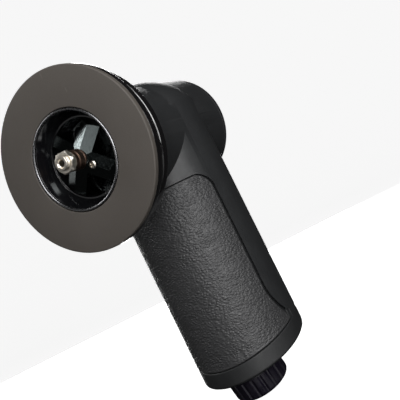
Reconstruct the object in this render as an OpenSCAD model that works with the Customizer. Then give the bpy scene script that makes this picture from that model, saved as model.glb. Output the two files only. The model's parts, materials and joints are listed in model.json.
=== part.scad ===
// Hand-held tyre inflator: a round head on a cylindrical handle. A motor in the
// handle turns a crank gear, and the crank drives a piston in the head. Air leaves
// through the valve nozzle in the middle of the cup.
// Frame: the head axis is Y and the mouth faces -Y. The handle axis is parallel to Z.
// The origin is the centre of the face ring's front plane.

/* [Head] */
// Radius of the face ring and the flange
face_r = 26; // [25:0.5:28]
// Radius of the mouth in the face ring
mouth_r = 14.5; // [14:0.1:14.8]
// Thickness of the rubber face ring
face_t = 1.6; // [1.2:0.1:2]
// Radius of the barrel behind the rings
barrel_r = 17; // [16.8:0.1:17.4]
// Rear end of the barrel, measured from the face
barrel_rear = 57; // [56.5:0.5:60]

/* [Cup] */
// Radius of the ledge where the cone of the cup ends
ledge_r = 11.7; // [11.2:0.1:12]
// Depth of that ledge
ledge_y = 5.2; // [4.5:0.1:6]
// Depth of the floor of the well
floor_y = 12.4; // [11.5:0.1:13]
// Number of arms on the spider
arm_count = 4; // [3:1:4]
// Width of an arm
arm_w = 6.2; // [5.6:0.1:6.4]

/* [Nozzle] */
// How far the tip stands out of the mouth
tip_out = 5.6; // [4:0.1:7]
// Radius of the nozzle tube
tube_r = 2.1; // [1.9:0.05:2.3]
// Radius of the air bore
air_r = 0.95; // [0.7:0.05:1.1]
// Width of the hex nut across its flats
nut_af = 5.8; // [5.4:0.1:6.2]

/* [Handle] */
// Radius of the handle
handle_r = 17.8; // [17.5:0.1:18.4]
// Distance of the handle axis behind the face
handle_y = 39; // [38.5:0.5:40]
// Height of the seam above the base, on the handle axis
seam_z = -67.2; // [-68:0.1:-66.5]
// Height of the base plane, on the handle axis
base_z = -73.1; // [-73.5:0.1:-72.5]
// Slope of the seam and the base, lower at the front
base_tilt = 15.8; // [14:0.2:17]
// Wall thickness of the housing
wall = 1.9; // [1.7:0.1:2]

/* [Grip panel] */
// Height of the top edge of the panel
panel_top = -17; // [-19:0.5:-16]
// Angle from the front to each long edge
panel_angle = 70; // [60:1:72]
// Thickness of the panel
panel_t = 1.1; // [0.9:0.1:1.3]
// Gap around the panel
panel_gap = 0.2; // [0.1:0.05:0.3]

/* [Control knob] */
// Radius of the knob
knob_r = 9; // [8.5:0.1:9.5]
// Height of the knob
knob_h = 8; // [7:0.1:8.5]
// Distance of the knob from the handle axis, towards the front
knob_off = 5.6; // [5:0.1:6]
// Number of flutes round the knob
flute_count = 20; // [14:1:24]

/* [Pump] */
// Bore radius of the cylinder
bore_r = 6; // [5.5:0.1:6]
// Throw of the crank pin
crank_throw = 1.75; // [1.5:0.05:1.75]
// Height of the crank gear's underside
gear_z = -11.4; // [-11.6:0.1:-11.2]
// Teeth of the crank gear
gear_teeth = 24; // [24:8:24]
// Teeth of the motor pinion
pinion_teeth = 8; // [8:1:8]
// Gear module
gear_mod = 0.6; // [0.58:0.01:0.6]

/* [Hidden] */

$fn = 96;
eps = 0.01;
big = 200;
run = 0.05;                                     // radial clearance of a running fit

barrel_front = 9.6;
dome_r = handle_r + 1.2;
dome_z = -1.2;
flange_y = 4;                                   // back of the flange plate
inner_r = barrel_r - wall;                      // inside of the barrel
grip_in = handle_r - wall - 0.1;                // inside of the handle

pitch_r = gear_mod * gear_teeth / 2;
pinion_r = gear_mod * pinion_teeth / 2;
crank_y = 43.6;
motor_y = crank_y - pitch_r - pinion_r;
gear_h = 2.6;
web_z = gear_z + gear_h;
pin_r = 1.25;
rod_half = 1.8;
small_end_y = 29.6;
rod_length = crank_y - crank_throw - small_end_y;

plate_top = gear_z - 0.8;
plate_h = 3.2;
motor_r = 10;
motor_h = 16.5;
motor_top = plate_top - plate_h;

cell_r = 7.8;
cell_h = 27;
cell_z = -61;
board_y = 49.6;
board_t = 1.2;

head_y = 13.8;                                  // front of the cylinder head
head_h = 7.2;
cyl_y = head_y + head_h + 0.4;                  // behind the gasket
cyl_end = 35.4;
crown_y = cyl_y + 0.6;
skirt_end = 33;
bolt_r = 8;                                     // bolt circle of the cylinder head

button_y = 28;
button_r = 4.5;
arm_turn = 45;                                  // first arm, from +Z towards +X
ridge_y = 1.2;                                  // where a ridge would meet the head axis
ridge_slope = 11.5;
screw_turn = 135;                               // the arm that carries the spider's screw
seat_y = 3;                                     // seat of that screw's head
nut_y = -4.4;                                   // front of the nozzle's nut
nut_h = 2;
sleeve_r = 2.9;
head_r = 9.6;                                   // radius of the cylinder head

// [y, z] of the screws that hold the halves together
handle_bolts = [[26.4, -38.5], [26.4, -57], [53.2, -24], [53.2, -45]];
head_bolts = [[19.2, 12.2], [19.2, -12.2], [38.6, 12.4], [48.6, 12.4]];

// ---------- helpers ----------

// Puts a child's Z axis along the head axis, starting at y
module along_head(y = 0) {
    translate([0, y, 0]) rotate([-90, 0, 0]) children();
}

// Puts a child's Z axis along the base's outward normal, on the handle axis at height z
module on_slope(z) {
    translate([0, handle_y, z]) rotate([180 + base_tilt, 0, 0]) children();
}

// A child on the control knob's axis, Z pointing out of the base
module on_knob_axis() {
    on_slope(base_z) translate([0, knob_off, 0]) children();
}

// A ring or disc on the child's own Z axis
module ring(r_out, r_in, h) {
    difference() {
        cylinder(r = r_out, h = h);
        translate([0, 0, -eps]) cylinder(r = r_in, h = h + 2 * eps);
    }
}

// Revolves a profile of [radius, y] points about the head axis
module turned(points) {
    rotate([-90, 0, 0]) rotate_extrude() polygon(points);
}

// A pan-head screw with a cross recess: head below z = 0, thread towards +Z
module screw(r, head_r, head_h, length) {
    difference() {
        union() {
            translate([0, 0, -head_h]) cylinder(r1 = head_r * 0.75, r2 = head_r, h = head_h * 0.4);
            translate([0, 0, -head_h * 0.6]) cylinder(r = head_r, h = head_h * 0.6);
            translate([0, 0, -eps]) cylinder(r = r, h = length + eps);
        }
        for (a = [0, 90]) {
            rotate(a) translate([0, 0, -head_h]) cube([head_r * 1.1, head_r * 0.28, head_h], center = true);
        }
    }
}

// A hexagonal nut across the flats, on the child's Z axis
module hex_nut(af, hole_r, h) {
    difference() {
        cylinder(r = af / 2 / cos(30), h = h, $fn = 6);
        translate([0, 0, -eps]) cylinder(r = hole_r, h = h + 2 * eps);
    }
}

// Wire of a coil spring, swept along its helix on the Z axis
module coil(mean_r, wire_r, h, turns) {
    sides = 6;
    steps = 16 * turns;
    function at(i, j) = let (a = 360 * turns * i / steps, b = 360 * j / sides)
        [(mean_r + wire_r * cos(b)) * cos(a), (mean_r + wire_r * cos(b)) * sin(a),
         wire_r + (h - 2 * wire_r) * i / steps + wire_r * sin(b)];
    points = [for (i = [0:steps], j = [0:sides - 1]) at(i, j)];
    skin = [for (i = [0:steps - 1], j = [0:sides - 1])
        [i * sides + j, (i + 1) * sides + j, (i + 1) * sides + (j + 1) % sides,
         i * sides + (j + 1) % sides]];
    first = [for (j = [0:sides - 1]) j];
    last = [for (j = [sides - 1:-1:0]) steps * sides + j];
    polyhedron(points, concat(skin, [first, last]), convexity = 6);
}

// Involute of a pressure angle, in degrees
function involute(a) = tan(a) * 180 / PI - a;

// Half the angle that a tooth fills at radius r
function tooth_half(teeth, r) = let (pitch = gear_mod * teeth / 2, base = pitch * cos(25))
    90 / teeth - 0.05 / pitch * 180 / PI + involute(25) - involute(acos(min(1, base / r)));

// Outline of a spur gear, a tooth centred on +X
module gear_outline(teeth) {
    pitch = gear_mod * teeth / 2;
    base = pitch * cos(25);
    radii = [pitch - 1.15 * gear_mod, max(base, pitch - 1.1 * gear_mod), pitch, pitch + 0.85 * gear_mod];
    polygon([for (t = [0:teeth - 1], side = [-1, 1], k = [0:3])
        let (r = radii[side < 0 ? k : 3 - k], a = t * 360 / teeth + side * tooth_half(teeth, r))
        [r * cos(a), r * sin(a)]]);
}

// ---------- housing ----------

// The handle's outer or inner form: a cylinder with a shallow dome on top
module handle_form(r, dome) {
    translate([0, handle_y, 0]) difference() {
        translate([0, 0, -90]) cylinder(r = r, h = 115);
        difference() {
            translate([-big / 2, -big / 2, 0]) cube(big);
            translate([0, 0, dome_z]) sphere(r = dome);
        }
    }
}

// Everything below the seam that closes the handle
module below_seam() {
    on_slope(seam_z) translate([-big / 2, -big / 2, 0]) cube(big);
}

// The barrel and the handle as one solid
module housing_form() {
    difference() {
        union() {
            along_head(barrel_front) cylinder(r = barrel_r, h = barrel_rear - barrel_front);
            handle_form(handle_r, dome_r);
        }
        below_seam();
    }
}

// The room inside the barrel and the handle
module housing_room() {
    along_head(barrel_front - 1) cylinder(r = inner_r, h = barrel_rear - barrel_front + 2);
    handle_form(grip_in, dome_r - wall - 0.1);
}

// Front view of the grip panel, larger by grow on every side
module panel_outline(grow) {
    half_w = handle_r * sin(panel_angle) + grow;
    corner_w = 2.4;
    corner_h = 5;
    flare_z = -55;
    corner = [for (a = [0:10:90])
        [half_w - corner_w + corner_w * sin(a), panel_top + grow - corner_h + corner_h * cos(a)]];
    flare = [for (t = [0:0.1:1])
        [handle_r * sin(panel_angle + 16 * pow(t, 1.8)) + grow, flare_z - 11.7 * t]];
    edge = concat(corner, flare, [[handle_r + grow, -85]]);
    polygon(concat(edge, [for (i = [len(edge) - 1:-1:0]) [-edge[i][0], edge[i][1]]]));
}

// The panel's outline run through the front half of the handle
module panel_prism(grow) {
    translate([0, handle_y, 0]) rotate([90, 0, 0]) linear_extrude(handle_r + 3) panel_outline(grow);
}

// Half the housing's width at a screw. The front ones sink far enough for the grip panel
// to cover the whole head, whose front edge is 2 mm ahead of the screw's axis.
function handle_half(p) = p[0] > handle_y ? sqrt(pow(handle_r, 2) - pow(p[0] - handle_y, 2))
    : 1.1 + sqrt(pow(handle_r - panel_t - 0.1, 2) - pow(handle_y - p[0] + 2, 2));
function head_half(p) = sqrt(barrel_r * barrel_r - p[1] * p[1]);

// A bar across the housing at a screw, from x0 to x1
module cross_bar(p, r, x0, x1) {
    translate([x0, p[0], p[1]]) rotate([0, 90, 0]) cylinder(r = r, h = x1 - x0);
}

// Every screw of the housing: children(0) sees the point and the half width
module at_bolts() {
    for (p = handle_bolts) {
        $bolt = p;
        $half = handle_half(p);
        children();
    }
    for (p = head_bolts) {
        $bolt = p;
        $half = head_half(p);
        children();
    }
}

// Posts for the base screws, on the seam's slope
module base_posts(r, z0, z1) {
    for (side = [-1, 1]) {
        on_slope(base_z) translate([side * 11.8, -6, z0]) cylinder(r = r, h = z1 - z0);
    }
}

// Ribs that join those posts to the wall, above the lip of the base cap
module base_ribs() {
    on_slope(base_z) translate([-17, -7, -14]) cube([34, 2, 5.4]);
}

// The hollow housing before it is split at the middle plane
module housing_shell() {
    difference() {
        intersection() {
            housing_form();
            union() {
                difference() {
                    housing_form();
                    housing_room();
                }
                at_bolts() cross_bar($bolt, 2.3, -$half, $half);
                along_head(15) ring(barrel_r - 0.5, head_r + 0.1, 2);
                for (side = [-1, 1]) {
                    translate([side * 9.7 - 3.5, 25, 7.2]) cube([7, 8, 1.05]);
                }
                base_posts(2.7, -14, -4);
                difference() {
                    base_ribs();
                    translate([-11, 0, -big / 2]) cube([22, big, big]);
                }
            }
        }
        // recess for the grip panel
        difference() {
            panel_prism(panel_gap);
            translate([0, handle_y, -95]) cylinder(r = handle_r - panel_t - 0.02, h = 90);
        }
        // groove for the gearbox plate
        translate([0, handle_y, motor_top - 0.05]) cylinder(r = grip_in + 0.35, h = plate_h + 0.1);
        // hole for the power button
        translate([0, button_y, 10]) cylinder(r = button_r + 0.15, h = 10);
        // slot for the charge port
        translate([-4.7, 50, -58.2]) cube([9.4, 10, 3.6]);
        // pilot holes of the base screws
        base_posts(0.82, -13, 5);
    }
}

module housing_left() {
    color([0.13, 0.13, 0.14]) difference() {
        intersection() {
            housing_shell();
            translate([-big, -big / 2, -big / 2]) cube(big);
        }
        at_bolts() {
            cross_bar($bolt, 1.1, -$half, 1);
            cross_bar($bolt, 2.05, -$half - 2, 2.4 - $half);
        }
    }
}

module housing_right() {
    color([0.13, 0.13, 0.14]) difference() {
        intersection() {
            housing_shell();
            translate([0, -big / 2, -big / 2]) cube(big);
        }
        at_bolts() cross_bar($bolt, 0.8, -1, $half - 2);
    }
}

module housing_screws() {
    color([0.3, 0.3, 0.32]) at_bolts() {
        translate([2.4 - $half, $bolt[0], $bolt[1]]) rotate([0, 90, 0])
            screw(0.8, 1.9, 1.3, $half + 2.8);
    }
}

module rear_cap() {
    color([0.1, 0.1, 0.11]) difference() {
        union() {
            turned([[0, 57], [17, 57], [17, 58.3], [16.6, 59.1], [15.6, 59.6], [0, 59.6]]);
            along_head(54) ring(inner_r - 0.1, 13.6, 3 + eps);
        }
        for (z = [-9:3:9]) {
            translate([-sqrt(170 - z * z), 56, z - 0.6]) cube([2 * sqrt(170 - z * z), 5, 1.2]);
        }
    }
}

module intake_filter() {
    color([0.35, 0.36, 0.38]) along_head(52.2) cylinder(r = 13.4, h = 2.6);
}

module base_cap() {
    fillet = 2.4;
    rim = 18.55;
    round_edge = [for (a = [0:15:90]) [rim - fillet + fillet * cos(a), -fillet + fillet * sin(a)]];
    color([0.14, 0.14, 0.15]) difference() {
        union() {
            intersection() {
                translate([0, handle_y, -95]) cylinder(r = handle_r, h = 60);
                on_slope(base_z) rotate_extrude()
                    polygon(concat([[0, -20], [rim, -20]], round_edge, [[0, 0]]));
                below_seam();
            }
            intersection() {
                translate([0, handle_y, -95]) ring(grip_in - 0.1, grip_in - 1.2, 60);
                on_slope(seam_z) translate([-30, -30, -2.6]) cube([60, 60, 4]);
            }
        }
        intersection() {
            translate([0, handle_y, -95]) cylinder(r = grip_in - 1.2, h = 60);
            on_slope(base_z) translate([-30, -30, -40]) cube([60, 60, 38]);
        }
        base_posts(3.1, -14, -2.2);
        base_posts(1, -3, 1);
        base_posts(2.1, -0.9, 1);
        on_knob_axis() translate([0, 0, -4]) cylinder(r = 4.25, h = 6);
    }
}

module base_screws() {
    color([0.3, 0.3, 0.32]) for (side = [-1, 1]) {
        on_slope(base_z) translate([side * 11.8, -6, -0.9]) rotate([180, 0, 0])
            screw(0.8, 1.9, 0.85, 9);
    }
}

module grip_panel() {
    color([0.2, 0.2, 0.2]) difference() {
        intersection() {
            panel_prism(0);
            translate([0, handle_y, -95]) cylinder(r = handle_r + 0.1, h = 90);
        }
        translate([0, handle_y, -96]) cylinder(r = handle_r - panel_t, h = 92);
        on_slope(seam_z) translate([-big / 2, -big / 2, -panel_gap]) cube(big);
    }
}

// ---------- front of the head ----------

module face_ring() {
    color([0.29, 0.275, 0.26]) turned([[mouth_r, 0.2], [mouth_r + 0.2, 0], [face_r - 0.35, 0],
        [face_r, 0.35], [face_r, face_t], [mouth_r, face_t]]);
}

module front_flange() {
    color([0.06, 0.06, 0.065]) turned([[mouth_r - 0.05, face_t], [face_r - 0.1, face_t],
        [face_r, face_t + 0.2], [face_r, flange_y - 0.5], [face_r - 0.5, flange_y], [21.5, flange_y],
        [21.5, 6], [inner_r - 0.1, 6], [inner_r - 0.1, 13], [13.2, 13], [13.2, 6],
        [mouth_r - 0.05, 5]]);
}

module clamp_ring() {
    color([0.07, 0.07, 0.075]) turned([[21.65, 4.9], [24, 4.9], [24.3, 5.2], [24.3, 6.6], [23.9, 6.9],
        [24.3, 7.2], [24.3, 8.9], [23.9, 9.3], [17.9, 14.2], [barrel_r + 0.05, 14.2],
        [barrel_r + 0.05, barrel_front - 0.1], [inner_r, barrel_front - 0.1], [inner_r, 6.1], [21.65, 6.1]]);
}

module cup() {
    color([0.03, 0.03, 0.035]) difference() {
        turned([[13.6, 0.75], [ledge_r, ledge_y], [ledge_r - 0.5, ledge_y], [ledge_r - 0.5, floor_y],
            [3.2, floor_y], [3.2, floor_y + 1.2], [ledge_r + 0.7, floor_y + 1.2],
            [ledge_r + 0.7, 6.3], [14.3, 1.8], [14.3, 0.75]]);
        at_spider_screw(floor_y - 1) cylinder(r = 0.62, h = 3);
    }
}

module cup_lip() {
    color([0.1, 0.1, 0.11]) rotate([-90, 0, 0]) rotate_extrude() translate([13.95, 0.35])
        circle(r = 0.4, $fn = 32);
}

// One rib of the spider, running outwards along +Z: its ridge starts at the nozzle's
// sleeve, slopes back towards the wall of the well and ends in a steeper face
module spider_arm() {
    end_r = ledge_r - 0.55;
    intersection() {
        translate([0, ridge_y, 0]) rotate([-ridge_slope, 0, 0]) translate([0, 0, -3])
            linear_extrude(20) polygon([[-4, 12], [-4, 1.6], [0, 0], [4, 1.6], [4, 12]]);
        translate([-arm_w / 2, 0, 0]) cube([arm_w, floor_y - 0.5, 12]);
        turned([[0, 0], [9.8, 0], [9.8, 3.2], [end_r, 5.4], [end_r, 14], [0, 14]]);
    }
}

// A child on the arm that carries the screw, Z along the head axis
module at_spider_screw(y) {
    rotate([0, screw_turn, 0]) translate([0, 0, 4.6]) along_head(y) children();
}

module spider() {
    color([0.22, 0.23, 0.24]) difference() {
        union() {
            for (i = [0:arm_count - 1]) {
                rotate([0, arm_turn + i * 360 / arm_count, 0]) spider_arm();
            }
            along_head(5.4) cylinder(r = 3.9, h = 6.7);
        }
        along_head(0) cylinder(r = sleeve_r + 0.04, h = 6);
        along_head(5) cylinder(r = tube_r + 0.03, h = 9);
        at_spider_screw(1) cylinder(r = 1.25, h = seat_y - 1);
        at_spider_screw(2) cylinder(r = 0.62, h = 12);
    }
}

// Holds the spider down on the floor of the cup
module spider_screw() {
    color([0.6, 0.58, 0.54]) at_spider_screw(seat_y) screw(0.6, 1.15, 0.9, floor_y + 1 - seat_y);
}

module nozzle() {
    color([0.72, 0.68, 0.6]) turned([[air_r, -tip_out + 0.3], [air_r + 0.3, -tip_out],
        [tube_r - 0.3, -tip_out], [tube_r, -tip_out + 0.3], [tube_r, head_y + 2.8], [air_r, head_y + 2.8]]);
}

module nozzle_nut() {
    flat = nut_af / 2;
    color([0.75, 0.72, 0.66]) intersection() {
        along_head(nut_y) hex_nut(nut_af, tube_r + 0.02, nut_h);
        turned([[0, nut_y], [flat, nut_y], [flat + 0.5, nut_y + 0.4],
            [flat + 0.5, nut_y + nut_h - 0.4], [flat, nut_y + nut_h], [0, nut_y + nut_h]]);
    }
}

module nozzle_sleeve() {
    color([0.35, 0.25, 0.16]) along_head(nut_y + nut_h)
        ring(sleeve_r, tube_r + 0.02, 5.9 - nut_y - nut_h);
}

module nozzle_seal() {
    color([0.08, 0.08, 0.08]) along_head(floor_y + 0.15) ring(3.1, tube_r + 0.01, 1.2);
}

// ---------- pump ----------

// Four bolts round the cylinder head
module at_head_bolts(y) {
    for (i = [0:3]) {
        rotate([0, 45 + 90 * i, 0]) translate([0, 0, bolt_r]) along_head(y) children();
    }
}

module cylinder_head() {
    color([0.6, 0.61, 0.62]) difference() {
        along_head(head_y) cylinder(r = head_r, h = head_h);
        along_head(head_y - 1) cylinder(r = tube_r + 0.01, h = 5);
        along_head(head_y + 2.8) cylinder(r = 2.6, h = 3.4);
        along_head(head_y) cylinder(r = 1, h = head_h + 1);
        at_head_bolts(head_y - 1) cylinder(r = 0.85, h = head_h + 2);
        at_head_bolts(head_y - 1) cylinder(r = 1.5, h = 2.2);
    }
}

module head_gasket() {
    color([0.4, 0.12, 0.1]) difference() {
        along_head(head_y + head_h) ring(head_r, bore_r, 0.4);
        at_head_bolts(head_y + head_h - 1) cylinder(r = 0.85, h = 3);
    }
}

module head_screws() {
    color([0.3, 0.3, 0.32]) at_head_bolts(head_y + 1.2) screw(0.8, 1.4, 1, 8.2);
}

module outlet_valve() {
    color([0.5, 0.1, 0.08]) along_head(18.9) cylinder(r = 2.3, h = 1.05);
}

module outlet_spring() {
    color([0.7, 0.7, 0.72]) along_head(head_y + 2.9) coil(1.8, 0.18, 1.3, 2.5);
}

module cylinder_form() {
    along_head(cyl_y) difference() {
        union() {
            cylinder(r = head_r, h = 2.4);
            cylinder(r = bore_r + 1.6, h = cyl_end - cyl_y);
        }
        translate([0, 0, -1]) cylinder(r = bore_r, h = 20);
    }
}

module pump_cylinder() {
    color([0.68, 0.69, 0.7]) difference() {
        cylinder_form();
        at_head_bolts(cyl_y - 1) cylinder(r = 0.82, h = 4);
    }
}

module piston() {
    color([0.75, 0.75, 0.76]) difference() {
        turned([[0, crown_y], [bore_r - run, crown_y], [bore_r - run, 24.6], [5.35, 24.6],
            [5.35, 26], [bore_r - run, 26], [bore_r - run, skirt_end], [4.9, skirt_end],
            [4.9, crown_y + 1.8], [0, crown_y + 1.8]]);
        along_head(crown_y - 1) cylinder(r = 0.62, h = 4);
        for (a = [0:90:270]) {
            rotate([0, a, 0]) translate([0, 0, 2.2]) along_head(crown_y - 1) cylinder(r = 0.7, h = 4);
        }
    }
}

module piston_ring() {
    color([0.12, 0.12, 0.12]) along_head(24.65) ring(bore_r - 0.02, 5.4, 1.3);
}

module intake_flap() {
    color([0.1, 0.1, 0.1]) union() {
        along_head(crown_y - 0.25) cylinder(r = 3.4, h = 0.25);
        along_head(crown_y - 0.25) cylinder(r = 0.6, h = 2);
    }
}

module connecting_rod() {
    color([0.62, 0.63, 0.65]) difference() {
        union() {
            translate([0, small_end_y, -rod_half + 0.3]) cylinder(r = 1.9, h = 2 * rod_half - 0.6);
            translate([0, small_end_y + rod_length, -rod_half]) cylinder(r = 2.9, h = 2 * rod_half);
            translate([-1.1, small_end_y + 1, -1]) cube([2.2, rod_length - 2.5, 2]);
        }
        translate([0, small_end_y, -3]) cylinder(r = 0.92, h = 6);
        translate([0, small_end_y + rod_length, -3]) cylinder(r = 1.9, h = 6);
    }
}

module wrist_pin() {
    color([0.8, 0.8, 0.8]) translate([0, small_end_y, -2.9]) cylinder(r = 0.91, h = 5.8);
}

module crank_bush() {
    color([0.7, 0.55, 0.3]) translate([0, crank_y - crank_throw, -rod_half])
        ring(1.9, pin_r + 0.03, 2 * rod_half);
}

module crank_gear() {
    web_top = -rod_half - 0.5;
    color([0.55, 0.56, 0.58]) union() {
        translate([0, crank_y, gear_z]) linear_extrude(gear_h) gear_outline(gear_teeth);
        translate([0, crank_y, web_z - eps]) cylinder(r = 5, h = web_top - web_z + eps);
        translate([0, crank_y - crank_throw, web_top - eps]) cylinder(r = pin_r, h = 2.5 - web_top);
        translate([0, crank_y, gear_z - 0.7]) cylinder(r = 2.1, h = 0.7 + eps);
        translate([0, crank_y, motor_top + 0.2]) cylinder(r = 1.5, h = gear_z - motor_top);
    }
}

module crank_clip() {
    color([0.3, 0.3, 0.32]) translate([0, crank_y - crank_throw, 2]) ring(2, pin_r, 0.45);
}

module crank_bearing() {
    color([0.75, 0.75, 0.76]) translate([0, crank_y, plate_top - 3]) ring(3.5, 1.53, 3);
}

module gearbox_plate() {
    color([0.5, 0.51, 0.53]) difference() {
        translate([0, handle_y, motor_top]) cylinder(r = grip_in + 0.3, h = plate_h);
        translate([-big / 2, 52, -big / 2]) cube(big);
        translate([0, crank_y, plate_top - 3]) cylinder(r = 3.5, h = 4);
        translate([0, crank_y, motor_top - 1]) cylinder(r = 2.4, h = 5);
        translate([0, motor_y, motor_top - 1]) cylinder(r = 3.1, h = plate_h + 2);
        for (side = [-1, 1]) {
            translate([side * 7, motor_y - 3.5, motor_top - 1]) cylinder(r = 0.9, h = plate_h + 2);
        }
    }
}

module motor_screws() {
    color([0.3, 0.3, 0.32]) for (side = [-1, 1]) {
        translate([side * 7, motor_y - 3.5, plate_top]) rotate([180, 0, 0]) screw(0.8, 1.5, 0.8, 5);
    }
}

module motor() {
    color([0.6, 0.61, 0.63]) difference() {
        union() {
            translate([0, motor_y, motor_top - motor_h]) cylinder(r = motor_r, h = motor_h);
            translate([0, motor_y, motor_top - eps]) cylinder(r = 3, h = 1.4);
        }
        translate([0, motor_y, motor_top - motor_h + 1]) cylinder(r = 1.03, h = motor_h + 2);
        for (side = [-1, 1]) {
            translate([side * 7, motor_y - 3.5, motor_top - 3]) cylinder(r = 0.82, h = 4);
        }
    }
}

module motor_shaft() {
    color([0.8, 0.8, 0.82]) translate([0, motor_y, motor_top - motor_h + 1.5])
        cylinder(r = 1, h = web_z + 0.2 - motor_top + motor_h - 1.5);
}

module pinion() {
    color([0.72, 0.56, 0.28]) translate([0, motor_y, gear_z - 0.2]) difference() {
        rotate(180 / pinion_teeth + 90) linear_extrude(gear_h + 0.4) gear_outline(pinion_teeth);
        translate([0, 0, -1]) cylinder(r = 1, h = 6);
    }
}

// ---------- power and control ----------

module battery_cell() {
    color([0.2, 0.35, 0.6]) translate([0, handle_y, cell_z]) union() {
        cylinder(r = cell_r, h = cell_h);
        translate([0, 0, cell_h - eps]) cylinder(r = 2.5, h = 0.5);
    }
}

module battery_cradle() {
    color([0.1, 0.1, 0.1]) translate([0, handle_y, cell_z - 2]) union() {
        difference() {
            ring(cell_r + 1.2, cell_r + 0.1, cell_h + 2.4);
            translate([-20, -20, -1]) cube([40, 17, 40]);
        }
        cylinder(r = cell_r + 1.2, h = 0.8);
    }
}

module battery_contacts() {
    color([0.8, 0.75, 0.6]) union() {
        translate([-3.5, handle_y - 3.5, cell_z + cell_h + 0.6]) cube([7, 7, 0.3]);
        translate([0, handle_y, cell_z - 1.2]) cylinder(r = 5, h = 0.3);
        translate([0, handle_y, cell_z - 0.95]) cylinder(r = 2.2, h = 0.9);
    }
}

module circuit_board() {
    color([0.05, 0.3, 0.15]) translate([-10, board_y, -61]) cube([20, board_t, 30]);
}

module board_parts() {
    y = board_y + board_t;
    color([0.15, 0.15, 0.16]) union() {
        translate([-8, y, -54]) cube([5, 1.2, 5]);
        translate([2, y, -42]) cube([5.2, 1.9, 5.2]);
        translate([-7, y, -40]) cube([3.6, 1, 3.6]);
        translate([-7.5, y, -34]) cube([2, 1, 1.2]);
        translate([2, y, -34]) cube([3, 1.2, 1.6]);
    }
}

module charge_port() {
    y = board_y + board_t;
    color([0.72, 0.72, 0.74]) difference() {
        translate([-4.5, y, -58]) cube([9, 5.4, 3.2]);
        translate([-4.15, y + 0.8, -57.65]) cube([8.3, 6, 2.5]);
    }
}

// One lead, from under the motor back to the board
module lead(x) {
    z = motor_top - motor_h - 0.55;
    translate([x, 40.5, z]) cylinder(r = 0.45, h = 0.55);
    translate([x, 40.5, z]) sphere(r = 0.45, $fn = 24);
    translate([x, 40.5, z]) rotate([-90, 0, 0]) cylinder(r = 0.45, h = board_y - 40.5);
}

module wire_leads() {
    color([0.6, 0.1, 0.1]) union() {
        lead(-5.2);
        lead(5.2);
    }
}

module power_button() {
    color([0.05, 0.05, 0.055]) translate([0, button_y, 0]) difference() {
        union() {
            translate([0, 0, 12.3]) cylinder(r = 5.4, h = 1);
            intersection() {
                translate([0, 0, 12.3]) cylinder(r = button_r, h = 6.2);
                translate([0, 0, -12]) sphere(r = 30);
            }
            translate([0, 0, 11.9]) cylinder(r = 1.2, h = 1);
        }
        translate([0, 0, 29.4]) sphere(r = 12);
    }
}

module button_spring() {
    color([0.7, 0.7, 0.72]) translate([0, button_y, 9.35]) coil(3.4, 0.2, 2.9, 4);
}

module switch_board() {
    color([0.05, 0.3, 0.15]) translate([-7, 24.6, 8.3]) cube([14, 8.6, 1]);
}

module button_switch() {
    color([0.5, 0.5, 0.52]) union() {
        translate([-2, button_y - 2, 9.3]) cube([4, 4, 1.2]);
        translate([0, button_y, 10.4]) cylinder(r = 1, h = 0.4);
    }
}

module control_knob() {
    bottom = 0.4;
    soft = 1.4;
    end_edge = [for (a = [0:15:90]) [knob_r - soft + soft * cos(a), knob_h - soft + soft * sin(a)]];
    color([0.08, 0.06, 0.11]) on_knob_axis() difference() {
        rotate_extrude() polygon(concat([[0, bottom], [knob_r - 0.4, bottom], [knob_r, bottom + 0.4]],
            end_edge, [[0, knob_h]]));
        translate([0, 0, -1]) cylinder(r = 6.3, h = 3.2);
        cylinder(r = 3, h = knob_h - 1.6);
        translate([0, 0, knob_h - 0.8]) cylinder(r = 6.4, h = 2);
        for (i = [0:flute_count - 1]) {
            rotate(i * 360 / flute_count) translate([knob_r + 0.35, 0, 1.3])
                cylinder(r = 0.75, h = 10, $fn = 24);
        }
    }
}

module knob_insert() {
    color([0.16, 0.16, 0.17]) on_knob_axis() union() {
        translate([0, 0, knob_h - 0.8]) cylinder(r = 6.35, h = 0.6);
        translate([-0.5, 1.5, knob_h - 0.3]) cube([1, 4.2, 0.3]);
    }
}

module knob_shaft() {
    color([0.7, 0.7, 0.72]) on_knob_axis() translate([0, 0, -5]) cylinder(r = 2.98, h = knob_h + 3.2);
}

module rotary_switch() {
    color([0.3, 0.3, 0.34]) on_knob_axis() difference() {
        union() {
            translate([0, 0, -8]) cylinder(r = 6, h = 5.8);
            translate([0, 0, -3]) cylinder(r = 4.2, h = 4.9);
        }
        translate([0, 0, -5.4]) cylinder(r = 3.03, h = 10);
    }
}

module switch_nut() {
    color([0.7, 0.7, 0.72]) on_knob_axis() translate([0, 0, 0.05]) hex_nut(10.4, 4.22, 1.7);
}

housing_left();
housing_right();
housing_screws();
rear_cap();
intake_filter();
base_cap();
base_screws();
grip_panel();
face_ring();
front_flange();
clamp_ring();
cup();
cup_lip();
spider();
spider_screw();
nozzle();
nozzle_nut();
nozzle_sleeve();
nozzle_seal();
cylinder_head();
head_gasket();
head_screws();
outlet_valve();
outlet_spring();
pump_cylinder();
piston();
piston_ring();
intake_flap();
connecting_rod();
wrist_pin();
crank_bush();
crank_gear();
crank_clip();
crank_bearing();
gearbox_plate();
motor_screws();
motor();
motor_shaft();
pinion();
battery_cell();
battery_cradle();
battery_contacts();
circuit_board();
board_parts();
charge_port();
wire_leads();
power_button();
button_spring();
switch_board();
button_switch();
control_knob();
knob_insert();
knob_shaft();
rotary_switch();
switch_nut();
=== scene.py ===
"""Looks of a hand-held tyre inflator, built around its CAD frame. Lengths are in metres."""
import json
import math

import bmesh
import bpy
from mathutils import Matrix, Vector, noise


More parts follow.
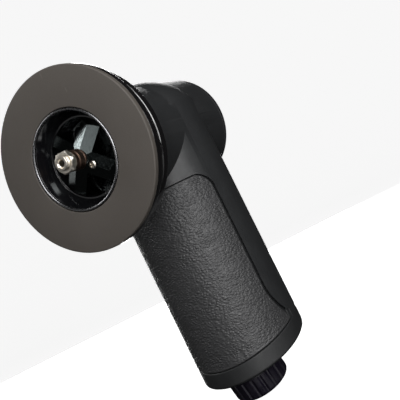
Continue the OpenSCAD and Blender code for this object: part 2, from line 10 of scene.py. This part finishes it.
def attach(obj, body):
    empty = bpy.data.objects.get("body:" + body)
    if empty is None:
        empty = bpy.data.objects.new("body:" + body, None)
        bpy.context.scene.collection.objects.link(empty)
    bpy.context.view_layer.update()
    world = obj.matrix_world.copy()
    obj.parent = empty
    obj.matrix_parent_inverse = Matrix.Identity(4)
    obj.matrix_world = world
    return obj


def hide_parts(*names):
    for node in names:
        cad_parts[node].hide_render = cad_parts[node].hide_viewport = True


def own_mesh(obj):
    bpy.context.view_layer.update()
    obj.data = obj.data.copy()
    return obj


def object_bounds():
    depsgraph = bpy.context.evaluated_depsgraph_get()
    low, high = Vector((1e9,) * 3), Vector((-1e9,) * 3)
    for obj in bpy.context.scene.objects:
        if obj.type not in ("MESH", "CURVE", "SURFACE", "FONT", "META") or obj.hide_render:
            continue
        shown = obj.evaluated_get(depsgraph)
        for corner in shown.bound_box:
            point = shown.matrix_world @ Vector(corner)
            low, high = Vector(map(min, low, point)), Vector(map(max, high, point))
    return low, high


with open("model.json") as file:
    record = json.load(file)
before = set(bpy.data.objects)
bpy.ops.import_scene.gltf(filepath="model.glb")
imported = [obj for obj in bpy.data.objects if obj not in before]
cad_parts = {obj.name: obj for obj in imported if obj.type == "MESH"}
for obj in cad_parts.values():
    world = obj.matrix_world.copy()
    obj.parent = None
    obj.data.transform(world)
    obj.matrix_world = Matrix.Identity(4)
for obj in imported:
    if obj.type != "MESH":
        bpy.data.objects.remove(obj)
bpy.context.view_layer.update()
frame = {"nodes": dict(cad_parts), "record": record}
nodes = frame["nodes"]
scene = bpy.context.scene

MM = 0.001

# ---------- camera, floor and light ----------

CAMERA_AT = Vector((136.1, -174.6, -32.5)) * MM
CAMERA_TURN = math.radians(31.2)      # azimuth of the view
CAMERA_RISE = math.radians(-2.0)      # the camera looks slightly upwards
CAMERA_ROLL = math.radians(-26.3)
LENS = 73.3                           # on a sensor 36 mm wide
LIT_POINT = Vector((0, 20, -20)) * MM


def add_camera():
    back = Vector((math.sin(CAMERA_TURN) * math.cos(CAMERA_RISE),
                   -math.cos(CAMERA_TURN) * math.cos(CAMERA_RISE), math.sin(CAMERA_RISE)))
    level = Vector((math.cos(CAMERA_TURN), math.sin(CAMERA_TURN), 0))
    up = back.cross(level)
    right = level * math.cos(CAMERA_ROLL) + up * math.sin(CAMERA_ROLL)
    up = back.cross(right)
    data = bpy.data.cameras.new("camera")
    data.lens = LENS
    data.sensor_width = 36
    data.clip_start = 0.01
    camera = bpy.data.objects.new("camera", data)
    axes = Matrix((right, up, back)).transposed().to_4x4()
    camera.matrix_world = Matrix.Translation(CAMERA_AT) @ axes
    scene.collection.objects.link(camera)
    scene.camera = camera


def add_floor():
    """A round pale floor whose edge curves up into a wall, the same from every side."""
    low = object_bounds()[0][2]
    size, bend, rise = 1.6, 0.5, 0.9      # radius of the wall, of the curve below it, and its height
    steps, sides = 24, 96
    rows = [(size - bend, low)]
    for i in range(1, steps + 1):
        a = math.pi / 2 * i / steps
        rows.append((size - bend + bend * math.sin(a), low + bend - bend * math.cos(a)))
    rows.append((size, low + bend + rise))
    verts = [(0, 0, low)]
    for radius, z in rows:
        for k in range(sides):
            a = 2 * math.pi * k / sides
            verts.append((radius * math.cos(a), radius * math.sin(a), z))
    faces = [(0, 1 + k, 1 + (k + 1) % sides) for k in range(sides)]
    for i in range(len(rows) - 1):
        for k in range(sides):
            near, far = 1 + i * sides, 1 + (i + 1) * sides
            faces.append((near + k, far + k, far + (k + 1) % sides, near + (k + 1) % sides))
    floor = add_mesh("floor", verts, faces)
    floor.data.materials.append(studio_white())
    floor.visible_diffuse = floor.visible_glossy = False     # the floor's glow lights nothing


def studio_white():
    material = bpy.data.materials.new("studio_white")
    material.use_nodes = True
    shader = material.node_tree.nodes["Principled BSDF"]
    shader.inputs["Base Color"].default_value = (0.5, 0.5, 0.5, 1)
    shader.inputs["Roughness"].default_value = 0.9
    shader.inputs["Emission Color"].default_value = (1, 1, 1, 1)
    shader.inputs["Emission Strength"].default_value = 0.9
    return material


def add_light(name, at, size, power):
    data = bpy.data.lights.new(name, "AREA")
    data.shape = "RECTANGLE"
    data.size, data.size_y = size
    data.energy = power
    light = bpy.data.objects.new(name, data)
    light.location = at
    light.rotation_euler = (LIT_POINT - Vector(at)).to_track_quat("-Z", "Y").to_euler()
    scene.collection.objects.link(light)
    return light


def add_lights():
    add_light("key", (0.32, -0.36, 0.02), (0.22, 0.22), 1.0)
    add_light("side", (0.47, -0.15, 0.02), (0.22, 0.22), 0.69)
    add_light("low", (0.28, -0.31, -0.27), (0.22, 0.22), 0.27)
    add_light("left", (-0.38, -0.05, 0.30), (0.22, 0.22), 0.60)
    add_light("near", (0.11, -0.14, 0.09), (0.08, 0.08), 0.10)
    add_light("above", (0.12, -0.05, 0.15), (0.08, 0.08), 0.12)
    add_light("rear", (-0.40, 0.52, 0.10), (0.5, 0.5), 5.0)
    # panels that only show as reflections, in the polished cup and the metal
    for at, size, power in (((0.25, -0.38, 0.20), (0.06, 0.35), 0.45),
                            ((0.07, -0.50, -0.05), (0.12, 0.12), 0.08),
                            ((-0.36, -0.150, 0.315), (0.12, 0.12), 0.035),
                            ((-0.29, -0.39, 0.07), (0.3, 0.3), 0.06),
                            ((-0.37, -0.131, 0.311), (0.02, 0.02), 0.035)):
        add_light("glint", at, size, power).visible_diffuse = False
    world = bpy.data.worlds.new("studio")
    world.use_nodes = True
    world.node_tree.nodes["Background"].inputs["Color"].default_value = (1, 1, 1, 1)
    world.node_tree.nodes["Background"].inputs["Strength"].default_value = 0.02
    scene.world = world
    scene.view_settings.view_transform = "Standard"


# ---------- mesh helpers ----------

def add_mesh(name, verts, faces, sharp=35):
    mesh = bpy.data.meshes.new(name)
    mesh.from_pydata([tuple(v) for v in verts], [], faces)
    mesh.validate()
    piece = bpy.data.objects.new(name, mesh)
    scene.collection.objects.link(piece)
    soften(piece, sharp)
    return piece


def soften(piece, sharp=35):
    """Smooth shading, with edges sharper than so many degrees left crisp."""
    mesh = piece.data
    mesh.shade_smooth()
    work = bmesh.new()
    work.from_mesh(mesh)
    for edge in work.edges:
        if len(edge.link_faces) == 2:
            edge.smooth = edge.calc_face_angle(0) < math.radians(sharp)
    work.to_mesh(mesh)
    work.free()


def rounded(points, radii, steps=5):
    """A closed outline with its corners rounded: one radius per corner, 0 for a sharp one."""
    out = []
    count = len(points)
    for i, radius in enumerate(radii):
        here = Vector(points[i])
        before = Vector(points[i - 1]) - here
        after = Vector(points[(i + 1) % count]) - here
        if radius <= 0:
            out.append(here)
            continue
        half = before.angle(after) / 2
        reach = min(radius / math.tan(half), before.length * 0.49, after.length * 0.49)
        radius = reach * math.tan(half)
        centre = here + (before.normalized() + after.normalized()).normalized() * radius / math.sin(half)
        start = here + before.normalized() * reach - centre
        end = here + after.normalized() * reach - centre
        turn = start.angle_signed(end)
        for k in range(steps + 1):
            a = -turn * k / steps
            out.append(centre + Vector((start.x * math.cos(a) - start.y * math.sin(a),
                                        start.x * math.sin(a) + start.y * math.cos(a))))
    return out


def turned(name, outline, sides=192, place=Matrix.Identity(4), shape=None):
    """Revolves a closed [radius, height] outline about the local Z axis.
    shape(radius, height, angle) may return another radius, for flutes or flats."""
    verts, faces = [], []
    rows = len(outline)
    for k in range(sides):
        a = 2 * math.pi * k / sides
        for r, h in outline:
            if shape:
                r = shape(r, h, a)
            verts.append(place @ Vector((r * math.cos(a), r * math.sin(a), h)))
    for k in range(sides):
        n = (k + 1) % sides
        for i in range(rows):
            j = (i + 1) % rows
            faces.append((k * rows + i, n * rows + i, n * rows + j, k * rows + j))
    piece = add_mesh(name, verts, faces)
    bm = bmesh.new()
    bm.from_mesh(piece.data)
    bmesh.ops.remove_doubles(bm, verts=bm.verts, dist=1e-7)
    bmesh.ops.dissolve_degenerate(bm, edges=bm.edges, dist=1e-7)
    bmesh.ops.recalc_face_normals(bm, faces=bm.faces)
    bm.to_mesh(piece.data)
    bm.free()
    soften(piece)
    return piece


ALONG_HEAD = Matrix.Rotation(math.radians(-90), 4, "X")    # local Z becomes +Y


def head_outline(pairs):
    """[radius, y] pairs in mm as local [radius, height] in metres."""
    return [(r * MM, y * MM) for r, y in pairs]


# ---------- materials ----------

def srgb(r, g, b):
    """An 8-bit display colour as the linear colour that a shader takes."""
    linear = [c / 255 / 12.92 if c <= 10 else ((c / 255 + 0.055) / 1.055) ** 2.4 for c in (r, g, b)]
    return (*linear, 1)


class Surface:
    """A Principled material and the few nodes that the finishes below share."""

    def __init__(self, name, colour, rough, metallic=0.0, coat=0.0, specular=0.5):
        self.material = bpy.data.materials.new(name)
        self.material.use_nodes = True
        self.tree = self.material.node_tree
        self.shader = self.tree.nodes["Principled BSDF"]
        self.colour = colour
        self.shader.inputs["Base Color"].default_value = colour
        self.shader.inputs["Roughness"].default_value = rough
        self.shader.inputs["Metallic"].default_value = metallic
        self.shader.inputs["Coat Weight"].default_value = coat
        self.shader.inputs["Coat Roughness"].default_value = 0.06
        self.shader.inputs["Specular IOR Level"].default_value = specular
        self.coords = self.node("ShaderNodeTexCoord").outputs["Object"]
        self.normal = None

    def node(self, kind, **settings):
        node = self.tree.nodes.new(kind)
        for key, value in settings.items():
            if key in node.inputs:
                node.inputs[key].default_value = value
            else:
                setattr(node, key, value)
        return node

    def link(self, output, socket):
        self.tree.links.new(output, socket)

    def stretched(self, stretch, turn=(0, 0, 0)):
        mapping = self.node("ShaderNodeMapping")
        mapping.inputs["Scale"].default_value = stretch
        mapping.inputs["Rotation"].default_value = turn
        self.link(self.coords, mapping.inputs["Vector"])
        return mapping.outputs["Vector"]

    def noise(self, size, detail=4.0, roughness=0.55, distortion=0.0, coords=None):
        """Noise whose blotches are about size mm across."""
        node = self.node("ShaderNodeTexNoise", Scale=1 / (size * MM), Detail=detail,
                         Roughness=roughness, Distortion=distortion)
        self.link(coords or self.coords, node.inputs["Vector"])
        return node.outputs["Fac"]

    def cells(self, size, feature="F1"):
        """Distances in a pattern of cells about size mm across."""
        node = self.node("ShaderNodeTexVoronoi", feature=feature, Scale=1 / (size * MM))
        self.link(self.coords, node.inputs["Vector"])
        return node.outputs["Distance"]

    def ramp(self, factor, low, high, start=0.0, end=1.0):
        """Maps start..end of a factor to low..high, clamped."""
        node = self.node("ShaderNodeMapRange")
        for key, value in (("From Min", start), ("From Max", end), ("To Min", low), ("To Max", high)):
            node.inputs[key].default_value = value
        self.link(factor, node.inputs["Value"])
        return node.outputs["Result"]

    def math(self, operation, a, b):
        node = self.node("ShaderNodeMath", operation=operation)
        for socket, value in zip(node.inputs, (a, b)):
            if isinstance(value, (int, float)):
                socket.default_value = value
            else:
                self.link(value, socket)
        return node.outputs[0]

    def tint(self, factor, colour):
        """Mixes the colour so far towards another by a factor."""
        node = self.node("ShaderNodeMix", data_type="RGBA")
        if isinstance(self.colour, tuple):
            node.inputs[6].default_value = self.colour
        else:
            self.link(self.colour, node.inputs[6])
        node.inputs[7].default_value = colour
        self.link(factor, node.inputs[0])
        self.colour = node.outputs[2]
        self.link(self.colour, self.shader.inputs["Base Color"])

    def roughness(self, factor):
        self.link(factor, self.shader.inputs["Roughness"])

    def bump(self, height, depth, strength=1.0):
        """Raises the surface by a height of 0..1 times depth in mm."""
        node = self.node("ShaderNodeBump", Distance=depth * MM, Strength=strength)
        self.link(height, node.inputs["Height"])
        if self.normal is not None:
            self.link(self.normal, node.inputs["Normal"])
        self.normal = node.outputs["Normal"]
        self.link(self.normal, self.shader.inputs["Normal"])


def scaled(colour, factor):
    return (*[min(1, c * factor) for c in colour[:3]], 1)


def matte_plastic(name, colour, rough=0.5, texture=0.22, depth=0.02):
    """Moulded plastic with a fine spark-eroded texture and faint handling marks."""
    s = Surface(name, colour, rough)
    s.tint(s.ramp(s.noise(14, 3), 0, 0.5, 0.35, 0.7), scaled(colour, 1.35))
    s.tint(s.ramp(s.noise(0.5, 5), 0, 0.35, 0.45, 0.7), scaled(colour, 0.7))
    s.roughness(s.ramp(s.noise(6, 5, 0.6), rough - 0.07, rough + 0.09, 0.3, 0.7))
    s.bump(s.noise(texture, 3, 0.6), depth)
    return s.material


def leather_rubber(name, colour, rough=0.5):
    """Soft rubber whose moulded grain is in the mesh: fine pores, with lighter and darker blotches at
    random.
    """
    s = Surface(name, colour, rough, specular=0.5)
    s.tint(s.ramp(s.noise(9, 4), 0, 0.35, 0.4, 0.7), scaled(colour, 1.3))
    s.tint(s.ramp(s.noise(0.7, 5), 0, 0.4, 0.45, 0.75), scaled(colour, 0.6))
    s.roughness(s.ramp(s.noise(1.1, 4), rough - 0.1, rough + 0.1, 0.3, 0.7))
    s.bump(s.noise(0.14, 3, 0.6), 0.02)
    return s.material


def scuffed_rubber(name, colour, rough=0.6):
    """Flat pressed rubber: fine grain, soft blotches and a few pale scratches."""
    s = Surface(name, colour, rough, specular=0.4)
    s.tint(s.ramp(s.noise(22, 3), 0, 0.5, 0.35, 0.7), scaled(colour, 1.16))
    s.tint(s.ramp(s.noise(0.35, 5), 0, 0.5, 0.4, 0.75), scaled(colour, 0.82))
    long_marks = s.noise(2.2, 2, 0.5, 0.2, s.stretched((1, 1, 0.09), (0, 0.6, 0)))
    where = s.ramp(s.noise(7, 2), 0, 1, 0.55, 0.66)
    mark = s.math("MULTIPLY", s.ramp(long_marks, 0, 0.5, 0.69, 0.73), where)
    s.tint(mark, scaled(colour, 2.4))
    s.roughness(s.ramp(s.noise(5, 5), rough - 0.08, rough + 0.08, 0.3, 0.7))
    s.bump(s.noise(0.3, 4), 0.012)
    return s.material


def gloss_plastic(name, colour, rough=0.1, coat=0.6):
    """Polished plastic with faint smudges and dust."""
    s = Surface(name, colour, rough, coat=coat)
    s.tint(s.ramp(s.noise(3, 5, 0.65), 0, 0.6, 0.55, 0.85), scaled(colour, 3))
    s.roughness(s.ramp(s.noise(4, 5, 0.6), rough * 0.7, rough * 1.9, 0.35, 0.75))
    s.bump(s.noise(7, 2), 0.02, 0.4)
    return s.material


def metal(name, colour, rough=0.25, grime=0.35, dirt=(0.08, 0.05, 0.03, 1), brushed=(1, 1, 1),
          depth=0.012):
    """Turned or drawn metal with fine lines, depth mm deep, and grime."""
    s = Surface(name, colour, rough, metallic=1)
    s.tint(s.ramp(s.noise(0.9, 5, 0.65), 0, grime, 0.45, 0.75), dirt)
    lines = s.noise(0.12, 3, 0.6, 0, s.stretched(brushed))
    s.roughness(s.ramp(s.noise(0.7, 5, 0.6), rough * 0.7, rough * 1.6, 0.3, 0.75))
    s.bump(lines, depth)
    return s.material


def foam(name, colour):
    s = Surface(name, colour, 0.95, specular=0.2)
    pores = s.cells(0.7)
    # painted shade: the colour darkens where the bump below sinks the foam, away from each cell's centre
    s.tint(s.ramp(pores, 0, 0.8, 0.35, 0.6), scaled(colour, 0.3))
    s.bump(pores, -0.4)
    return s.material


def solder_mask(name, colour):
    s = Surface(name, colour, 0.35, coat=0.3)
    s.tint(s.ramp(s.cells(1.6, "DISTANCE_TO_EDGE"), 0.6, 0, 0.02, 0.05), scaled(colour, 1.8))
    s.bump(s.noise(0.4, 2), 0.01)
    return s.material


FINISHES = {
    "charcoal_shell": lambda n: matte_plastic(n, srgb(44, 45, 46), 0.42),
    # painted shade: the base cap's charcoal is set darker than the shell's to stand in for the dimmer
    # light on the collar
    "charcoal_base": lambda n: matte_plastic(n, srgb(34, 35, 36), 0.58),
    "rear_plastic": lambda n: matte_plastic(n, srgb(36, 36, 38), 0.5),
    "grip_leather": lambda n: leather_rubber(n, srgb(60, 60, 61), 0.46),
    "face_rubber": lambda n: scuffed_rubber(n, srgb(88, 83, 78), 0.62),
    "black_gloss": lambda n: gloss_plastic(n, srgb(18, 17, 18), 0.12),
    "cup_gloss": lambda n: gloss_plastic(n, srgb(16, 16, 18), 0.06, 0.8),
    "lip_gloss": lambda n: metal(n, (0.26, 0.26, 0.27, 1), 0.26, 0.2, (0.05, 0.05, 0.05, 1)),
    "spider_metal": lambda n: metal(n, (0.085, 0.098, 0.098, 1), 0.13, 0.3, (0.03, 0.035, 0.035, 1)),
    "nickel": lambda n: metal(n, (0.84, 0.79, 0.70, 1), 0.32, 0.45, (0.16, 0.11, 0.07, 1)),
    "nut_nickel": lambda n: metal(n, (0.88, 0.83, 0.74, 1), 0.38, 0.3, (0.2, 0.14, 0.09, 1)),
    "sleeve_bronze": lambda n: metal(n, (0.07, 0.045, 0.035, 1), 0.45, 0.5),
    "knob_plastic": lambda n: gloss_plastic(n, srgb(19, 15, 28), 0.34, 0.1),
    "knob_disc": lambda n: matte_plastic(n, srgb(40, 38, 44), 0.5),
    "button_rubber": lambda n: matte_plastic(n, srgb(28, 28, 30), 0.6),
    "screw_steel": lambda n: metal(n, (0.20, 0.20, 0.21, 1), 0.35, 0.3),
    "bright_steel": lambda n: metal(n, (0.66, 0.66, 0.67, 1), 0.2, 0.15, brushed=(1, 1, 0.1), depth=0.003),
    "spring_steel": lambda n: metal(n, (0.60, 0.60, 0.62, 1), 0.3, 0.2),
    "alloy": lambda n: metal(n, (0.62, 0.63, 0.65, 1), 0.42, 0.12, brushed=(1, 0.1, 1), depth=0.003),
    "cast_alloy": lambda n: metal(n, (0.45, 0.46, 0.48, 1), 0.5, 0.3),
    "gear_steel": lambda n: metal(n, (0.42, 0.42, 0.44, 1), 0.4, 0.3),
    "brass": lambda n: metal(n, (0.70, 0.52, 0.24, 1), 0.28, 0.25),
    "gasket_red": lambda n: matte_plastic(n, srgb(140, 50, 42), 0.6),
    "seal_black": lambda n: matte_plastic(n, srgb(24, 24, 24), 0.5),
    "filter_foam": lambda n: foam(n, srgb(110, 112, 116)),
    "motor_can": lambda n: metal(n, (0.50, 0.51, 0.53, 1), 0.42, 0.15, brushed=(1, 1, 0.1), depth=0.003),
    "cell_wrap": lambda n: gloss_plastic(n, srgb(52, 92, 150), 0.25, 0.2),
    "cradle_plastic": lambda n: matte_plastic(n, srgb(36, 36, 36), 0.55),
    "contact_metal": lambda n: metal(n, (0.72, 0.66, 0.50, 1), 0.25, 0.2),
    "board_green": lambda n: solder_mask(n, srgb(30, 92, 60)),
    "chip_black": lambda n: matte_plastic(n, srgb(36, 36, 38), 0.45),
    "port_steel": lambda n: metal(n, (0.64, 0.64, 0.66, 1), 0.34, 0.04),
    "wire_red": lambda n: matte_plastic(n, srgb(150, 36, 34), 0.5),
    "pot_metal": lambda n: metal(n, (0.25, 0.25, 0.28, 1), 0.45, 0.3),
}

slot_of = {row["node"]: row["material_slot"] for row in frame["record"]["subparts"]}
body_of = {node: body for body, members in frame["record"]["behaviour"]["bodies"].items()
           for node in members}
materials = {slot: FINISHES[slot](slot) for slot in sorted(set(slot_of.values()))}


def dress(piece, slot):
    piece.data.materials.clear()
    piece.data.materials.append(materials[slot])


def stand_for(piece, node):
    """The piece rides, shows and is finished as the CAD node that it replaces."""
    dress(piece, slot_of[node])
    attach(piece, body_of[node])
    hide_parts(node)


# ---------- head ----------

def head_piece(name, node, corners, radii, sides=192, steps=5, shape=None):
    """A turned piece on the head axis: corners are [radius, y] in mm, each with its edge radius."""
    piece = turned(name, rounded(head_outline(corners), [r * MM for r in radii], steps),
                   sides, ALONG_HEAD, shape)
    stand_for(piece, node)


def add_head():
    head_piece("face_ring_rubber", "face_ring",
               [(14.5, 1.6), (14.5, 0), (26, 0), (26, 1.6)], [0, 0.25, 0.4, 0.12], 256)
    head_piece("flange_body", "front_flange",
               [(14.45, 1.62), (25.95, 1.62), (25.95, 4), (21.5, 4), (21.5, 6), (15, 6), (15, 13),
                (13.2, 13), (13.2, 6), (14.45, 5)],
               [0, 0.35, 0.6, 0.15, 0, 0, 0, 0, 0, 0], 256)
    head_piece("clamp_ring_body", "clamp_ring",
               [(21.65, 4.9), (24.3, 4.9), (24.3, 6.65), (23.8, 6.9), (24.3, 7.15), (24.3, 9.3),
                (21.1, 11.75), (20.9, 11.5), (20.5, 12.2), (17.9, 14.2), (17.05, 14.2), (17.05, 9.5),
                (15.1, 9.5), (15.1, 6.1), (21.65, 6.1)],
               [0, 0.4, 0.18, 0.15, 0.18, 0.55, 0.12, 0.1, 0.12, 0.35, 0, 0, 0, 0, 0], 256)
    head_piece("cup_body", "cup",
               [(13.6, 0.75), (11.7, 5.2), (11.2, 5.2), (11.2, 12.4), (3.2, 12.4), (3.2, 13.6),
                (12.4, 13.6), (12.4, 6.3), (14.3, 1.8), (14.3, 0.75)],
               [0.12, 0.14, 0.12, 0.8, 0, 0, 0, 0, 0, 0], 256)
    lip = [(13.95 + 0.4 * math.cos(a), 0.35 + 0.4 * math.sin(a))
           for a in (2 * math.pi * k / 28 for k in range(28))]
    piece = turned("cup_lip_ring", head_outline(lip), 256, ALONG_HEAD)
    stand_for(piece, "cup_lip")


def hexagon(radius, height, angle):
    """Limits a radius to a hexagon 5.8 mm across its flats, its bore left round."""
    flat = 2.9 * MM / math.cos(angle % math.radians(60) - math.radians(30))
    return radius if radius < 2.5 * MM else min(radius, flat)


def add_nozzle():
    head_piece("nozzle_tube", "nozzle",
               [(0.95, -5.1), (1.3, -5.6), (2.1, -5.6), (2.1, -4.95), (1.88, -4.8), (1.88, -4.6),
                (2.1, -4.45), (2.1, 16.6), (0.95, 16.6)],
               [0.1, 0.12, 0.28, 0.08, 0.05, 0.05, 0.05, 0, 0], 96)
    head_piece("nozzle_nut_hex", "nozzle_nut",
               [(2.12, -4.4), (2.85, -4.4), (3.42, -3.95), (3.42, -2.85), (2.85, -2.4), (2.12, -2.4)],
               [0, 0.12, 0.1, 0.1, 0.12, 0], 192, 4, hexagon)
    head_piece("nozzle_sleeve_ringed", "nozzle_sleeve",
               [(2.12, -2.4), (2.9, -2.4), (2.9, -1.3), (2.55, -1.1), (2.55, -0.7), (2.9, -0.5),
                (2.9, 1.2), (2.65, 1.35), (2.65, 1.6), (2.9, 1.75), (2.9, 5.9), (2.12, 5.9)],
               [0, 0.25, 0.12, 0.08, 0.08, 0.12, 0.1, 0.06, 0.06, 0.1, 0.1, 0], 96)


# ---------- housing ----------

CRISP = math.radians(28)              # edges sharper than this are bevelled


def copy_of(node, name):
    piece = nodes[node].copy()
    piece.data = nodes[node].data.copy()
    piece.name = name
    scene.collection.objects.link(piece)
    return piece


def add_bevelled(node, width):
    """A moulded part with its CAD shape, its sharp edges bevelled width mm wide."""
    piece = copy_of(node, node + "_moulded")
    work = bmesh.new()
    work.from_mesh(piece.data)
    bmesh.ops.remove_doubles(work, verts=work.verts, dist=1e-6)
    bmesh.ops.dissolve_limit(work, angle_limit=math.radians(0.5), verts=work.verts, edges=work.edges)
    crisp = [e for e in work.edges if len(e.link_faces) == 2 and e.calc_face_angle(0) > CRISP]
    bmesh.ops.bevel(work, geom=crisp, offset=width * MM, segments=3, profile=0.5, affect="EDGES",
                    clamp_overlap=False)
    work.to_mesh(piece.data)
    work.free()
    soften(piece, 30)
    even = piece.modifiers.new("even shading", "WEIGHTED_NORMAL")     # large faces lead
    even.keep_sharp = True
    stand_for(piece, node)


def add_housing():
    for node, width in (("base_cap", 0.35), ("rear_cap", 0.25), ("housing_right", 0.15),
                        ("housing_left", 0.15)):
        add_bevelled(node, width)


def add_spring():
    """The button's spring, copied with a mesh of its own."""
    piece = copy_of("button_spring", "button_coil")
    stand_for(piece, "button_spring")
    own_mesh(piece)


# ---------- control knob ----------

BASE_TILT = math.radians(15.8)
HANDLE_Y = 39
HANDLE_R = 17.8
ON_KNOB_AXIS = (Matrix.Translation(Vector((0, HANDLE_Y, -73.1)) * MM)
                @ Matrix.Rotation(math.pi + BASE_TILT, 4, "X")
                @ Matrix.Translation(Vector((0, 5.6, 0)) * MM))
FLUTES = 20


def fluted(radius, height, angle):
    """Round flutes that run out of the open end of the knob."""
    if height < 1.5 * MM:
        return radius
    step = 2 * math.pi / FLUTES
    off = (angle + step / 2) % step - step / 2
    centre, flute = 9.35 * MM, 0.78 * MM
    if abs(centre * math.sin(off)) >= flute:
        return radius
    return min(radius, centre * math.cos(off) - math.sqrt(flute ** 2 - (centre * math.sin(off)) ** 2))


def add_knob():
    corners = [(6.3, 0.4), (9.0, 0.4), (9.0, 1.45), (9.0, 1.55), (9.0, 8.0), (6.4, 8.0), (6.4, 7.2),
               (3.0, 7.2), (3.0, 2.2), (6.3, 2.2)]
    radii = [0.1, 0.35, 0, 0, 1.4, 0.15, 0, 0, 0, 0]
    piece = turned("knob_fluted", rounded(head_outline(corners), [r * MM for r in radii], 7),
                   FLUTES * 20, ON_KNOB_AXIS, fluted)
    stand_for(piece, "control_knob")


# ---------- grip panel ----------

PANEL_TOP = -17.0      # mm, as the next five lengths
PANEL_R = 17.9
SEAM_Z = -67.2         # height of the slanted seam on the handle's axis
SEAM_GAP = 0.21
FLARE_Z = -55.0        # below it the long edges turn outwards
CORNER = 5             # height over which the top corners are rounded
HALF_ANGLE = 70        # degrees from the front to a long edge


def panel_half_angle(z):
    """Angle from the front to the panel's long edge at a height z in mm."""
    half = HANDLE_R * math.sin(math.radians(HALF_ANGLE))
    if z > PANEL_TOP - CORNER:
        rise = min(1, max(0, (z - PANEL_TOP + CORNER) / CORNER))
        half -= 2.4 - 2.4 * math.sqrt(1 - rise * rise)
    elif z < FLARE_Z:
        flare = min(1.0, (FLARE_Z - z) / 11.7) ** 1.8
        half = HANDLE_R * math.sin(math.radians(HALF_ANGLE + 16 * flare))
    return math.asin(min(0.9999, half / HANDLE_R))


def panel_bottom(angle):
    """Height of the slanted bottom edge at an angle from the front."""
    return SEAM_Z + SEAM_GAP - HANDLE_R * math.cos(angle) * math.tan(BASE_TILT)


def leather(angle, z):
    """Relief of the grain in mm, 0 on the pebbles and negative in the creases."""
    x = PANEL_R * angle
    warp = noise.noise_vector(Vector((x * 0.5, z * 0.5, 3.0))) * 0.5
    point = Vector((x / 1.05 + warp.x, (z + 0.12 * x) / 0.62 + warp.y, 0))
    near, second = noise.voronoi(point)[0][:2]
    pillow = min(1, (second - near) / 0.5)
    swell = noise.noise(Vector((x * 0.22, z * 0.4, 9.0)))
    return -0.19 * (1 - pillow) ** 1.5 * (0.85 + 0.6 * swell) - 0.03 * near


def add_grip():
    """The panel's front as a fine grid that carries the grain, with a skirt 0.6 mm deep."""
    noise.seed_set(7)      # the same grain each run
    across, along = 300, 370
    verts = []
    for j in range(along + 1):
        v = j / along
        for i in range(across + 1):
            u = 2 * i / across - 1
            angle = u * math.radians(HALF_ANGLE)
            for _ in range(6):                # the outline's height and width depend on each other
                low = panel_bottom(angle)
                z = low + v * (PANEL_TOP - low)
                angle = u * panel_half_angle(z)
            edge = min((1 - abs(u)) * panel_half_angle(z) * PANEL_R, (1 - v) * (PANEL_TOP - low),
                       v * (PANEL_TOP - low))
            roll = max(0, 1 - edge / 0.55)
            r = (PANEL_R - 0.4 * (1 - math.sqrt(1 - min(1, roll) ** 2))
                 + leather(angle, z) * min(1, edge / 0.8))
            verts.append(Vector((r * math.sin(angle), HANDLE_Y - r * math.cos(angle), z)) * MM)
    row = across + 1
    faces = [(j * row + i, j * row + i + 1, (j + 1) * row + i + 1, (j + 1) * row + i)
             for j in range(along) for i in range(across)]
    rim = (list(range(row)) + [j * row + across for j in range(1, along + 1)]
           + [along * row + i for i in range(across - 1, -1, -1)]
           + [j * row for j in range(along - 1, 0, -1)])
    first = len(verts)
    for k in rim:
        p = verts[k]
        out = Vector((p.x, p.y - HANDLE_Y * MM, 0)).normalized()
        verts.append(p - out * 0.6 * MM)
    count = len(rim)
    faces += [(rim[k], first + k, first + (k + 1) % count, rim[(k + 1) % count]) for k in range(count)]
    piece = add_mesh("grip_leather_panel", verts, faces, 60)
    stand_for(piece, "grip_panel")


# ---------- the scene ----------

for name, node in nodes.items():
    dress(node, slot_of[name])
    node.data.shade_smooth()
    node.data.set_sharp_from_angle(angle=math.radians(35))

add_head()
add_nozzle()
add_housing()
add_spring()
add_knob()
add_grip()
add_camera()
add_floor()
add_lights()
